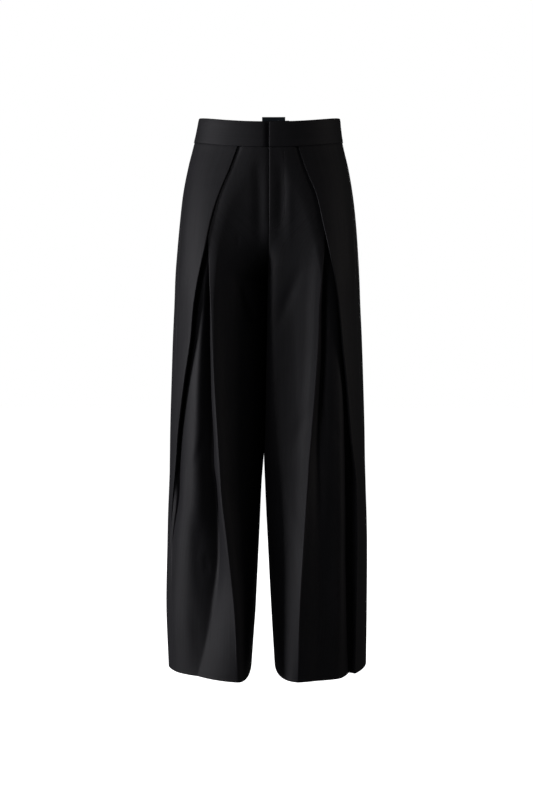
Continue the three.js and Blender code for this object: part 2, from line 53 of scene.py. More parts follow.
def soft_light(name, place, aim, width, height, watts, colour=(1, 1, 1)):
    """A rectangular soft box at a place, turned to face the point it is aimed at."""
    light = bpy.data.lights.new(name, "AREA")
    light.shape = "RECTANGLE"
    light.size = width
    light.size_y = height
    light.energy = watts
    light.color = colour
    box = bpy.data.objects.new(name, light)
    box.location = place
    toward = [a - b for a, b in zip(aim, place)]
    across = math.hypot(toward[0], toward[1])
    box.rotation_euler = (math.atan2(across, -toward[2]), 0, math.atan2(-toward[0], toward[1]))
    bpy.context.scene.collection.objects.link(box)


soft_light("right_side_light", (-3.3, -0.6, -0.4), (0, 0, -0.55), 0.9, 2.8, 92, (0.98, 0.965, 1.0))
soft_light("upper_right_light", (-1.5, -2.5, 1.3), (0, 0, -0.1), 0.7, 0.7, 14, (0.98, 0.965, 1.0))
soft_light("left_side_light", (2.9, -0.35, 0.0), (0, 0, -0.4), 0.8, 2.2, 9.5, (1.0, 0.93, 0.9))
soft_light("front_light", (-0.3, -4.2, 0.8), (0, 0, -0.5), 2.0, 2.0, 1.5)
soft_light("back_light", (0.4, 3.6, 0.5), (0, 0, -0.4), 1.2, 1.8, 40)

floor_material = bpy.data.materials.new("studio_floor")
floor_material.use_nodes = True
floor_shader = floor_material.node_tree.nodes["Principled BSDF"]
floor_shader.inputs["Base Color"].default_value = (0.93, 0.93, 0.93, 1)
floor_shader.inputs["Roughness"].default_value = 0.9
floor_shader.inputs["Emission Color"].default_value = (1, 1, 1, 1)
floor_shader.inputs["Emission Strength"].default_value = 1.0
floor_mesh = bpy.data.meshes.new("floor")
floor_mesh.from_pydata([(-9, -9, -1.5), (9, -9, -1.5), (9, 9, -1.5), (-9, 9, -1.5)], [], [(0, 1, 2, 3)])
floor_mesh.materials.append(floor_material)
floor = bpy.data.objects.new("floor", floor_mesh)
bpy.context.scene.collection.objects.link(floor)
floor.visible_diffuse = False
floor.visible_glossy = False

studio = bpy.data.worlds.new("studio")
studio.use_nodes = True
air = studio.node_tree
seen = air.nodes.new("ShaderNodeLightPath")
white = air.nodes.new("ShaderNodeBackground")
white.inputs["Color"].default_value = (1, 1, 1, 1)
white.inputs["Strength"].default_value = 1.0
fill = air.nodes.new("ShaderNodeBackground")
fill.inputs["Color"].default_value = (1, 1, 1, 1)
fill.inputs["Strength"].default_value = 0.035
either = air.nodes.new("ShaderNodeMixShader")
air.links.new(seen.outputs["Is Camera Ray"], either.inputs["Fac"])
air.links.new(fill.outputs["Background"], either.inputs[1])
air.links.new(white.outputs["Background"], either.inputs[2])
air.links.new(either.outputs["Shader"], air.nodes["World Output"].inputs["Surface"])
bpy.context.scene.world = studio

# Suiting. A smooth, near-black wool twill with a slight sheen. The fine diagonal weave and the faint streaks
# along its warp come from one node group, read in metres along the cloth, so the grain follows every fold.


def group_of(name, inputs, outputs):
    """A shader node group with its named sockets, and its two end nodes."""
    group = bpy.data.node_groups.new(name, "ShaderNodeTree")
    for socket, kind in inputs:
        group.interface.new_socket(socket, in_out="INPUT", socket_type=kind)
    for socket, kind in outputs:
        group.interface.new_socket(socket, in_out="OUTPUT", socket_type=kind)
    return group, group.nodes.new("NodeGroupInput"), group.nodes.new("NodeGroupOutput")


def scaled(group, vector, scale):
    node = group.nodes.new("ShaderNodeVectorMath")
    node.operation = "MULTIPLY"
    node.inputs[1].default_value = scale
    group.links.new(vector, node.inputs[0])
    return node.outputs["Vector"]


def noise(group, vector, detail):
    node = group.nodes.new("ShaderNodeTexNoise")
    node.inputs["Scale"].default_value = 1
    node.inputs["Detail"].default_value = detail
    group.links.new(vector, node.inputs["Vector"])
    return node.outputs["Fac"]


def sum_of(group, parts):
    """The parts, each (value socket, amount), added up."""
    total = None
    for socket, amount in parts:
        node = group.nodes.new("ShaderNodeMath")
        node.operation = "MULTIPLY_ADD"
        group.links.new(socket, node.inputs[0])
        node.inputs[1].default_value = amount
        if total:
            group.links.new(total, node.inputs[2])
        else:
            node.inputs[2].default_value = 0
        total = node.outputs["Value"]
    return total


weave, weave_in, weave_out = group_of(
    "twill_weave",
    [("Cloth", "NodeSocketVector"), ("Dark", "NodeSocketColor"), ("Light", "NodeSocketColor")],
    [("Colour", "NodeSocketColor"), ("Roughness", "NodeSocketFloat"), ("Height", "NodeSocketFloat")],
)
cloth_place = weave_in.outputs["Cloth"]
ribs = weave.nodes.new("ShaderNodeTexWave")
ribs.wave_type = "BANDS"
ribs.bands_direction = "DIAGONAL"
ribs.inputs["Scale"].default_value = 1
ribs.inputs["Distortion"].default_value = 0.6
ribs.inputs["Detail"].default_value = 1
weave.links.new(scaled(weave, cloth_place, (330, 330, 0)), ribs.inputs["Vector"])
streaks = noise(weave, scaled(weave, cloth_place, (420, 7, 0)), 3)
clouds = noise(weave, scaled(weave, cloth_place, (16, 9, 0)), 2)
threads = noise(weave, scaled(weave, cloth_place, (1500, 1500, 0)), 1)
tone = sum_of(weave, [(streaks, 0.75), (clouds, 0.45), (ribs.outputs["Fac"], 0.2), (threads, 0.2)])
tone_range = weave.nodes.new("ShaderNodeMapRange")
tone_range.inputs["From Min"].default_value = 0.5
tone_range.inputs["From Max"].default_value = 1.1
weave.links.new(tone, tone_range.inputs["Value"])
between = weave.nodes.new("ShaderNodeMix")
between.data_type = "RGBA"
weave.links.new(tone_range.outputs["Result"], between.inputs["Factor"])
weave.links.new(weave_in.outputs["Dark"], between.inputs["A"])
weave.links.new(weave_in.outputs["Light"], between.inputs["B"])
weave.links.new(between.outputs["Result"], weave_out.inputs["Colour"])
gloss_range = weave.nodes.new("ShaderNodeMapRange")
gloss_range.inputs["To Min"].default_value = 0.66
gloss_range.inputs["To Max"].default_value = 0.54
weave.links.new(streaks, gloss_range.inputs["Value"])
weave.links.new(gloss_range.outputs["Result"], weave_out.inputs["Roughness"])
relief = sum_of(weave, [(ribs.outputs["Fac"], 0.6), (threads, 0.35), (streaks, 0.5)])
weave.links.new(relief, weave_out.inputs["Height"])


def woven_material(name, dark, light, sheen, sheen_tint, relief_depth):
    """A woven cloth from the twill group, with its own colours, sheen and depth of weave in metres."""
    material = bpy.data.materials.new(name)
    material.use_nodes = True
    tree = material.node_tree
    shader = tree.nodes["Principled BSDF"]
    shader.inputs["Specular IOR Level"].default_value = 0.25
    shader.inputs["Sheen Weight"].default_value = sheen
    shader.inputs["Sheen Roughness"].default_value = 0.45
    shader.inputs["Sheen Tint"].default_value = sheen_tint
    place = tree.nodes.new("ShaderNodeUVMap")
    place.uv_map = "cloth"
    cloth = tree.nodes.new("ShaderNodeGroup")
    cloth.node_tree = weave
    cloth.inputs["Dark"].default_value = dark
    cloth.inputs["Light"].default_value = light
    bump = tree.nodes.new("ShaderNodeBump")
    bump.inputs["Strength"].default_value = 0.5
    bump.inputs["Distance"].default_value = relief_depth
    tree.links.new(place.outputs["UV"], cloth.inputs["Cloth"])
    tree.links.new(cloth.outputs["Colour"], shader.inputs["Base Color"])
    tree.links.new(cloth.outputs["Roughness"], shader.inputs["Roughness"])
    tree.links.new(cloth.outputs["Height"], bump.inputs["Height"])
    tree.links.new(bump.outputs["Normal"], shader.inputs["Normal"])
    return material


suiting = woven_material(
    "suiting", (0.0076, 0.0075, 0.009, 1), (0.0138, 0.0136, 0.0166, 1), 0.0, (0.75, 0.78, 0.9, 1), 0.0003
)

# Front panels. Each is one cut of suiting from the fly to the side seam, with one deep inverted pleat,
# pressed flat at the waist and opening downwards. All sizes are in millimetres until the mesh is made.
CLOTH = 0.9
SEAM_GAP = 0.3
SIDE_SEAM_MEET = 0.02  # front and back are sewn edge to edge at the side seam
LAYER_PITCH = 2.3
SEAM_Z = -44
CURVE_TOP_Z = -194
CROTCH_Z = -290
HEM_Z = -1018
CROTCH_Y = 15
HEM_INSEAM_Y = 24
CROTCH_CURVE = 2.3
BACK_INNER_ROUND = 2.4
FRONT_DIP = 13
DIP_FADE = 120
HEM_TURN = 36
FOREMOST_Y = 98  # of the waist seam, where the edge dips most

FIGURE_COLUMNS = ["z", "front", "back", "outRight", "outLeft", "seam", "roundBack"]
FIGURE = [
    [2, -94, 95, 0, 0, -6, 2],
    [-44, -98, 100, 0, 0, -8, 2],
    [-90, -103, 111, 3, 3, -12, 2],
    [-140, -108, 123, 8, 8, -20, 2.1],
    [-190, -112, 131, 12, 12, -28, 2.1],
    [-240, -116, 132, 14, 14, -36, 2.1],
    [-290, -119, 129, 14, 14, -42, 2.1],
    [-340, -120, 124, 12, 12, -44, 2.1],
    [-400, -121, 120, 10, 10, -44, 2.1],
    [-480, -122, 118, 8, 8, -38, 2.1],
    [-570, -122, 118, 6, 8, -22, 2.1],
    [-670, -122, 120, 5, 10, 8, 2.1],
    [-780, -122, 123, 2, 14, 38, 2.1],
    [-900, -122, 126, -4, 18, 50, 2.1],
    [-1018, -121, 128, -10, 22, 56, 2.1],
]
LEG_COLUMNS = ["z", "outer", "crest", "inner", "rear", "fall", "innerRound", "outerRound"]
RIGHT_LEG = [
    [2, 126, 10, 0.15, 10, 0, 2.4, 2],
    [-44, 136, 10, 0.15, 12, 0, 2.4, 2],
    [-90, 148, 30, 0.15, 24, 0, 2.4, 2],
    [-140, 158, 56, 0.15, 40, 1, 2.4, 2],
    [-190, 164, 78, 0.3, 54, 4, 2.4, 2],
    [-240, 169, 90, 1.7, 62, 10, 2.4, 1.95],
    [-290, 173, 95, 2.8, 66, 17, 2.4, 1.9],
    [-340, 175, 98, 3.8, 70, 21, 2.4, 1.85],
    [-400, 178, 98, 4.8, 76, 25, 2.4, 1.8],
    [-480, 181, 98, 6.4, 82, 27, 2.4, 1.75],
    [-570, 184, 94, 8.2, 88, 28, 2.4, 1.7],
    [-620, 185, 91, 10.2, 92, 27, 2.4, 1.68],
    [-670, 186, 88, 14, 95, 25, 2.4, 1.66],
    [-780, 190, 76, 19, 100, 18, 2.4, 1.64],
    [-900, 193, 62, 25, 104, 9, 2.4, 1.7],
    [-1018, 189, 57, 33, 106, 0, 2.4, 1.66],
]
LEFT_LEG = [
    [2, 128, 10, 0.15, 10, 0, 2.4, 2],
    [-44, 134, 10, 0.15, 12, 0, 2.4, 2],
    [-90, 145, 26, 0.15, 24, 0, 2.6, 2],
    [-140, 154, 50, 0.15, 40, 1, 3.2, 2],
    [-190, 160, 70, 0.3, 54, 4, 5, 2],
    [-240, 164, 84, -0.4, 62, 10, 8, 1.95],
    [-290, 167, 92, -1.5, 64, 17, 11, 1.9],
    [-340, 169, 89, -2.5, 66, 21, 12, 1.9],
    [-400, 172, 88, -3.5, 70, 23, 11, 1.9],
    [-480, 175, 83, -5.1, 74, 25, 9, 1.95],
    [-570, 178, 76, -6.9, 78, 27, 6, 2],
    [-620, 179, 71, -8.6, 80, 28, 5, 2.05],
    [-670, 180, 70, -7, 82, 30, 4, 2.1],
    [-780, 183, 63, -2, 88, 30, 3.2, 2.15],
    [-900, 184, 56, 4, 93, 22, 2.8, 2.1],
    [-1018, 184.5, 52, 11, 97, 8, 2.6, 2],
]
# From the fly outwards: the crease, the inner valley behind it, the crown and brow of the underlay, the
# outer valley and the flap's edge. Each has an X, read on the outline, and a depth D behind it.
PLEAT_COLUMNS = [
    "z", "creaseX", "creaseD", "creaseGap", "innerX", "innerD", "innerWide",
    "crownX", "crownD", "browX", "browD", "outerX", "outerD", "outerGap", "flapX", "flapD", "flapGap", "soft",
]
RIGHT_PLEAT = [
    [-44, 100, 4.6, 2.3, 62, 6.9, 0, 78, 9.2, 96, 9.2, 112, 9.2, 6.9, 56, 0, 2.3, 4],
    [-90, 106, 1.4, 2.3, 66, 3.7, 0, 84, 6, 104, 6, 122, 6, 6.9, 71, -3.2, 2.3, 4],
    [-140, 110, 0.4, 2.3, 74, 2.9, 0, 92, 5.4, 112, 5.2, 133, 5, 6.9, 88, -5.4, 2.3, 4],
    [-190, 108, 0, 2.3, 86, 5.2, 1, 99, 6.6, 118, 5.9, 141, 5.4, 6.2, 102, -7, 2.3, 4],
    [-240, 106, -1, 2.4, 101, 14, 3, 109, 10, 123, 8.5, 145, 9, 5.5, 112, -7, 2.4, 5],
    [-290, 105, -1, 2.6, 110, 22, 4, 118, 10, 127, 9.5, 152, 12, 6, 123, -6, 2.6, 6],
    [-340, 103, -1, 2.8, 115, 28, 5.5, 121, 10.5, 130, 9.5, 157, 14, 7, 132, -4.5, 2.8, 7],
    [-400, 101, -2, 3, 118, 31, 6.5, 126, 9.5, 138, 8.5, 162, 14, 7, 139, -3, 3, 8],
    [-480, 98, -3, 3.4, 118, 34, 6, 130, 7.5, 146, 6, 169, 12, 7, 151, -4, 3.4, 9],
    [-570, 93, -3, 4, 113, 32, 8, 132, 4.5, 152, 3, 172, 10, 6, 163, -4, 3.6, 10],
    [-620, 90, -3, 4.5, 111, 29, 9, 134, 2, 154, 1, 172, 9, 5, 168, -3, 3, 11],
    [-670, 87, -3, 5, 106, 33, 8, 133, 3, 156, -2, 172, 9, 5, 173, -3, 2.6, 12],
    [-780, 74, -1, 4, 104, 35, 8, 147, 3, 164, -3, 180, 2, 1.4, 183, -0.8, 0.8, 14],
    [-900, 62, 0, 2, 110, 24, 10, 151, 5, 171, -1, 182, 0.4, 0.3, 187, 0, 0.2, 24],
    [-1018, 57, 0, 0.2, 130, 9, 8, 156, 4, 170, 0, 178, 0.2, 0.1, 183, 0, 0.1, 30],
]
LEFT_PLEAT = [
    [-44, 98, 4.6, 2.3, 58, 6.9, 0, 75, 9.2, 94, 9.2, 110, 9.2, 6.9, 52, 0, 2.3, 4],
    [-90, 101, 2.4, 2.3, 62, 4.7, 0, 82, 7, 101, 7, 120, 7, 6.9, 66, -2.2, 2.3, 4],
    [-140, 102, 1.6, 2.3, 68, 4.1, 0, 87, 6.6, 107, 6.4, 129, 6.2, 6.9, 83, -3.5, 2.3, 4],
    [-190, 99, 0.6, 2.3, 78, 6.4, 0.5, 91, 8.4, 111, 7.2, 135, 6.2, 6.2, 94, -4.6, 2.3, 4],
    [-240, 97, -1, 2.4, 94, 15, 3, 103, 12, 116, 9.5, 139, 9.5, 5.5, 105, -5, 2.4, 5],
    [-290, 93, -2, 2.6, 99, 20, 5, 110, 14, 122, 10.5, 145, 12, 6, 115, -4.5, 2.6, 6],
    [-340, 90, -2, 2.8, 98, 22, 5, 111, 14, 127, 8.5, 150, 14, 7, 123, -3, 2.8, 7],
    [-400, 88, -2, 3, 98, 23, 4, 112, 12, 129, 6, 153, 16, 8, 129, -3, 3, 8],
    [-480, 83, -2, 3.4, 95, 22, 5, 112, 8.5, 131, 2.5, 156, 18, 9, 137, -4, 3.4, 8],
    [-570, 76, -1, 4, 91, 18, 6, 111, 5, 131, -1, 157, 24, 16, 145, -4, 3.6, 8],
    [-670, 69, -1, 4, 88, 13, 8, 109, 5, 131, -3, 158, 25, 17, 156, -4, 3.6, 8],
    [-780, 62, -1, 3, 84, 8, 10, 109, 5, 131, -4, 159, 25, 17, 158, -4, 3.4, 8],
    [-900, 55, 0, 2, 80, 7, 12, 105, 4, 131, -4, 159, 22, 15, 158, -3, 3, 8],
    [-1018, 52, 0, 0.2, 78, 4, 12, 104, 3, 130, -2, 158, 12, 8, 158, -1.5, 3.6, 8],
]
SIDES = {
    "right": {"sign": -1, "leg": RIGHT_LEG, "pleat": RIGHT_PLEAT, "out": "outRight"},
    "left": {"sign": 1, "leg": LEFT_LEG, "pleat": LEFT_PLEAT, "out": "outLeft"},
}
CENTRE_DIP = (9, 1)  # start and end, inside the flap's edge
CREASE_DIP = (24, 10)  # the same, inside the crease once it is free of the flap
FREE_SPAN = 12  # how far the flap's edge moves past the crease from shut to open
FALL_CURVE = 1.8  # the centre panels are level beside the fly and steepen towards the crease
FLY_REACH = 34  # columns stand close together this far from the fly
CROTCH_SHARE = 62  # columns are spread evenly this far from the crest, and the rest runs into the crotch
FOLD_GAP = 2  # a fold with less room than this is drawn out along the cloth as it dies away
DRAWN_OUT = 1.5  # by this much for each millimetre of room it lacks
FOLD_TURN = 0.2  # how far the cloth runs on round a pressed fold
UNDER_TURN = 0.1  # and round the folds that lie beneath
OPEN_PITCH = 1  # between the two sides of the inner valley where the pleat stands open
SHOULDER_BEYOND = 8  # the flap starts to come back to the side seam this far past its edge
SHOULDER_SHARE = 0.75  # or this share of the way to the seam, if that is nearer
SEAM_STRIP = 3  # columns stand close together this far from a seam
CORNER_STEPS = 5


def mix(a, b, t):
    return a + (b - a) * t


def eased(t):
    t = np.clip(t, 0, 1)
    return t * t * (3 - 2 * t)


def row_at(columns, table, z):
    """Every column of a table at height z, on a smooth curve between its rows that never overshoots them."""
    rows = np.array(table, float)
    i = int(np.clip(np.searchsorted(-rows[:, 0], -z) - 1, 0, len(rows) - 2))
    slopes = np.diff(rows, axis=0) / np.diff(rows[:, 0])[:, None]

    def tangent(k):
        if k in (0, len(rows) - 1):
            return slopes[max(k - 1, 0)]
        before, after = slopes[k - 1], slopes[k]
        level = before * after <= 0
        return np.where(level, 0, 2 * before * after / np.where(level, 1, before + after))

    span = rows[i + 1, 0] - rows[i, 0]
    t = np.clip((z - rows[i, 0]) / span, 0, 1)
    rise = rows[i + 1] - rows[i]
    leave = tangent(i) * span
    arrive = tangent(i + 1) * span
    curve = rows[i] + t * leave + t**2 * (3 * rise - 2 * leave - arrive) + t**3 * (leave + arrive - 2 * rise)
    return dict(zip(columns, curve))


def inner_seam_y(z, face, straight_y):
    """y of the centre seam above the crotch, and of the inseam below it, on the front (-1) or back (+1)."""
    apart = face * SEAM_GAP / 2
    if z <= CROTCH_Z:
        return mix(CROTCH_Y, HEM_INSEAM_Y, (CROTCH_Z - z) / (CROTCH_Z - HEM_Z)) + apart
    down = np.clip((CURVE_TOP_Z - z) / (CURVE_TOP_Z - CROTCH_Z), 0, 1)
    return CROTCH_Y + apart + (straight_y - CROTCH_Y) * (1 - down**CROTCH_CURVE) ** (1 / CROTCH_CURVE)


def quarter(start, end, roundness, along_y, steps):
    angle = np.linspace(0, math.pi / 2, steps + 1)
    early = np.sin(angle) ** (2 / roundness)
    late = 1 - np.clip(np.cos(angle), 0, 1) ** (2 / roundness)
    tx, ty = (late, early) if along_y else (early, late)
    return np.column_stack([mix(start[0], end[0], tx), mix(start[1], end[1], ty)])


def inner_quarter(inner, seam_y, end, roundness, fall, steps):
    """From a leg's inner edge to its foremost or rearmost point, cut at the centre seam above the crotch."""
    nearly_whole = 0.9999
    cut = float(np.clip((seam_y - CROTCH_Y) / (end[1] - CROTCH_Y), 0, nearly_whole))
    first = math.asin(cut ** (roundness / 2))
    angle = np.linspace(first, math.pi / 2, steps + 1)
    run = 1 - np.clip(np.cos(angle), 0, 1) ** (2 / roundness)
    tx = (run - run[0]) / (1 - run[0])
    start_y = CROTCH_Y if cut > 0 else seam_y
    out = np.sin(angle) ** (2 / roundness)
    y = mix(start_y, end[1], out) + fall * (1 - tx**FALL_CURVE) * out
    return np.column_stack([mix(inner, end[0], tx), y])


class Outline:
    """One side of the garment at height z, from its inner front edge round to its inner back edge."""

    def __init__(self, side, z):
        figure = row_at(FIGURE_COLUMNS, FIGURE, z)
        leg = row_at(LEG_COLUMNS, side["leg"], z)
        steps = 96
        front = (leg["crest"], figure["front"])
        outer = (leg["outer"], figure[side["out"]])
        rear = (leg["rear"], figure["back"])
        self.points = np.vstack([
            inner_quarter(leg["inner"], inner_seam_y(z, -1, figure["front"]), front, leg["innerRound"],
                leg["fall"], steps),
            quarter(front, outer, leg["outerRound"], False, steps)[1:],
            quarter(outer, rear, figure["roundBack"], True, steps)[1:],
            inner_quarter(leg["inner"], inner_seam_y(z, 1, figure["back"]), rear, BACK_INNER_ROUND, 0,
                steps)[::-1][1:],
        ])
        stretch = np.hypot(*np.diff(self.points, axis=0).T)
        self.along = np.concatenate([[0], np.cumsum(stretch)])
        self.total = self.along[-1]
        self.sign = side["sign"]
        self.seam = self.first(steps, self.points[:, 1] - figure["seam"])
        self.rear = self.along[3 * steps]
        self.steps = steps

    def first(self, start, height):
        i = start
        while i < len(height) - 2 and height[i + 1] < 0:
            i += 1
        a, b = height[i], height[i + 1]
        return mix(self.along[i], self.along[i + 1], np.clip(a / ((a - b) or 1), 0, 1))

    def front_at(self, x):
        return self.first(0, self.points[:, 0] - x)

    def back_at(self, x):
        return self.first(2 * self.steps, x - self.points[:, 0])

    def inset(self, u, depth):
        """Points at distances u along the outline and depths behind it."""
        u = np.asarray(u, float)
        place = lambda s: np.column_stack([np.interp(s, self.along, self.points[:, k]) for k in (0, 1)])
        reach = 2
        across = place(np.clip(u + reach, 0, self.total)) - place(np.clip(u - reach, 0, self.total))
        across /= np.maximum(np.hypot(*across.T), 1e-9)[:, None]
        here = place(np.clip(u, 0, self.total))
        x = self.sign * (here[:, 0] - across[:, 1] * depth)
        return np.column_stack([x, here[:, 1] + across[:, 0] * depth])


def rounded_path(keys):
    """Rounds the corners of a path of keys (u, d, soft, steps). Gives its points and each one's key."""
    most_of_stretch = 0.4  # so that the roundings at its two ends never meet
    spot = [np.array(k[:2], float) for k in keys]
    reach = lambda a, b: most_of_stretch * math.dist(spot[a], spot[b])
    path, part = [spot[0]], [0]
    for i in range(1, len(keys)):
        soft, steps = keys[i][2:]
        setback = min(soft, reach(i - 1, i), reach(i, i + 1)) if i + 1 < len(keys) else 0
        length = lambda other: max(math.dist(spot[i], spot[other]), 1e-9)
        toward = lambda other: spot[i] + (spot[other] - spot[i]) * setback / length(other)
        begin = toward(i - 1)
        left = path[-1]
        path += [mix(left, begin, s / steps) for s in range(1, steps + 1)]
        part += [i] * steps
        if soft == 0:
            continue
        finish = toward(i + 1)
        for s in range(1, CORNER_STEPS + 1):
            t = s / CORNER_STEPS
            path.append((1 - t) ** 2 * begin + 2 * t * (1 - t) * spot[i] + t**2 * finish)
            part.append(i)
    return np.array(path), np.array(part)


CREASE_KEY, INNER_KEY, OUTER_KEY, FLAP_KEY = 6, 9, 12, 15


def pleated_path(outline, side, z):
    """The folded way of a front panel at height z, from its inner edge to the side seam."""
    p = row_at(PLEAT_COLUMNS, side["pleat"], z)
    crease, inner, outer, flap, crown, brow = (
        outline.front_at(p[name]) for name in ("creaseX", "innerX", "outerX", "flapX", "crownX", "browX")
    )
    seam = outline.seam + SIDE_SEAM_MEET
    shut = eased(0.5 - (flap - crease) / FREE_SPAN)
    covered = min(flap, crease)
    shoulder = min(max(outer, flap) + SHOULDER_BEYOND, mix(flap, seam, SHOULDER_SHARE))
    drawn = lambda gap: DRAWN_OUT * max(0, FOLD_GAP - gap)
    dip = mix(crease - CREASE_DIP[0], covered - CENTRE_DIP[0], shut)
    dip_end = mix(crease - CREASE_DIP[1], covered - CENTRE_DIP[1], shut)
    near_fly = min(FLY_REACH, dip / 2)
    valley_rise = mix(LAYER_PITCH, OPEN_PITCH, 1 - shut)
    soft = p["soft"]
    keys = [
        (0, 0, 0, 0),
        (SEAM_STRIP, 0, 0, 4),
        (near_fly, 0, 0, 20),
        (max(near_fly + 4, dip - CROTCH_SHARE), 0, 0, 8),
        (dip, 0, 10, 14),
        (dip_end, p["creaseD"], 8, 3),
        (crease, p["creaseD"], soft, 6),
        (crease + FOLD_TURN + drawn(p["creaseGap"]), p["creaseD"] + p["creaseGap"], soft, 2),
        (inner, p["innerD"], soft, 8),
        (inner + p["innerWide"] + UNDER_TURN, p["innerD"] + valley_rise, soft, 2),
        (crown, p["crownD"], soft, 7),
        (brow, p["browD"], soft, 4),
        (outer, p["outerD"], soft, 7),
        (outer + FOLD_TURN + drawn(p["outerGap"]), p["outerD"] - p["outerGap"], soft, 2),
        (flap + UNDER_TURN - drawn(p["flapGap"]), p["flapD"] + p["flapGap"], soft, 8),
        (flap, p["flapD"], soft, 2),
        (shoulder, p["flapD"], 10, 9),
        (seam - SEAM_STRIP, 0, 0, 9),
        (seam, 0, 0, 4),
    ]
    return rounded_path(keys)


# Main creases of the fronts, placed after the photo. On part 0, the centre panel, part 1, the
# underlay, or part 2, the flap, each runs from one place to another with a bow, and is a trough where its
# depth is positive.
CREASE_COLUMNS = ["part", "fromX", "fromZ", "toX", "toZ", "bow", "width", "depth"]
RIGHT_CREASES = [
    [0, 20, -62, 19, -250, 1, 9, 2.2],
    [0, 66, -75, 116, -250, 0, 20, -2.4],
    [0, 66, -268, 24, -385, 6, 9, 2.4],
    [0, 48, -300, 14, -400, 4, 8, 1.9],
    [0, 54, -208, 56, -232, 0, 2.5, 0.8],
    [0, 40, -230, 46, -330, 0, 12, 0.8],
    [0, 92, -560, 60, -470, -4, 9, 1.0],
    [0, 60, -760, 34, -860, 3, 9, 1.4],
    [0, 46, -800, 30, -940, 2, 7, -1.2],
    [0, 78, -640, 52, -720, 3, 10, 0.8],
    [1, 116, -560, 141, -640, 3, 6, 1.2],
    [1, 118, -790, 112, -830, 0, 4, 1.3],
    [1, 125, -780, 121, -815, 0, 4, -1.0],
    [1, 140, -700, 128, -860, 4, 10, 1.0],
    [1, 150, -860, 132, -980, 3, 11, 1.0],
    [2, 60, -75, 110, -118, 5, 7, 0.7],
    [2, 80, -66, 128, -92, 4, 7, 0.6],
    [2, 112, -215, 150, -300, 5, 12, 0.8],
    [2, 140, -330, 168, -430, -4, 12, 0.9],
    [2, 150, -470, 172, -600, 2, 10, 0.8],
]
LEFT_CREASES = [
    [0, 20, -62, 19, -215, -1, 8, 2.2],
    [0, 36, -85, 36, -240, 0, 7, -0.8],
    [0, 62, -262, 22, -372, 6, 9, 1.2],
    [0, 44, -300, 12, -392, 4, 8, 1.0],
    [0, 70, -520, 40, -610, 4, 10, 0.9],
    [0, 30, -640, 52, -770, 3, 9, -0.9],
    [0, 64, -720, 72, -870, -2, 8, 0.8],
    [1, 112, -520, 134, -600, 3, 7, 1.0],
    [1, 68, -845, 78, -875, 0, 4, 1.0],
    [1, 116, -650, 126, -800, 2, 9, 0.8],
    [1, 104, -860, 118, -985, 3, 10, 0.9],
    [1, 130, -800, 130, -1010, 0, 14, -2.0],
    [2, 58, -72, 104, -112, 5, 7, 0.6],
    [2, 106, -205, 146, -290, 5, 12, 0.8],
    [2, 132, -330, 160, -440, -4, 12, 0.9],
    [2, 142, -600, 160, -740, 3, 9, 0.8],
]


def crease_depths(table, x, z, part):
    """How far each point of a panel is pushed in by its table of creases."""
    depth = np.zeros_like(x)
    for values in table:
        crease = dict(zip(CREASE_COLUMNS, values))
        t = np.linspace(0, 1, 13)
        line_x = mix(crease["fromX"], crease["toX"], t)
        line_z = mix(crease["fromZ"], crease["toZ"], t)
        length = math.hypot(crease["toX"] - crease["fromX"], crease["toZ"] - crease["fromZ"])
        bow = crease["bow"] * np.sin(math.pi * t)
        line_x = line_x + bow * (crease["toZ"] - crease["fromZ"]) / length
        line_z = line_z - bow * (crease["toX"] - crease["fromX"]) / length
        nearest = np.full_like(x, 1e9)
        at = np.zeros_like(x)
        for k in range(len(t) - 1):
            ax, az = line_x[k], line_z[k]
            bx, bz = line_x[k + 1] - ax, line_z[k + 1] - az
            s = np.clip(((x - ax) * bx + (z - az) * bz) / (bx * bx + bz * bz), 0, 1)
            off = np.hypot(x - ax - s * bx, z - az - s * bz)
            closer = off < nearest
            nearest = np.where(closer, off, nearest)
            at = np.where(closer, mix(t[k], t[k + 1], s), at)
        swell = np.sin(math.pi * np.clip(at, 0.02, 0.98)) ** 0.8
        here = (part == crease["part"]) * crease["depth"]
        depth += here * swell * np.exp(-((nearest / crease["width"]) ** 2))
    return depth


def hung(x, y, z):
    """Lets the front edge of the waist dip at the middle, fading out below the band."""
    dipped = eased(1 + (z - SEAM_Z) / DIP_FADE) * FRONT_DIP
    return z - dipped * np.clip(-y / FOREMOST_Y, 0, 1) ** 2


def section_normals(points):
    """Outward normals of rows of points, each row one section of a panel."""
    before = np.concatenate([points[:, :1], points[:, :-1]], axis=1)
    after = np.concatenate([points[:, 1:], points[:, -1:]], axis=1)
    across = after - before
    across /= np.maximum(np.hypot(across[..., 0], across[..., 1]), 1e-9)[..., None]
    return np.stack([across[..., 1], -across[..., 0]], axis=-1)


def moved_out(x, y, high, normal, reach):
    """A grid of points moved out along its normals, at the heights where it hangs."""
    return np.stack([x + normal[..., 0] * reach, y + normal[..., 1] * reach, high], axis=-1)


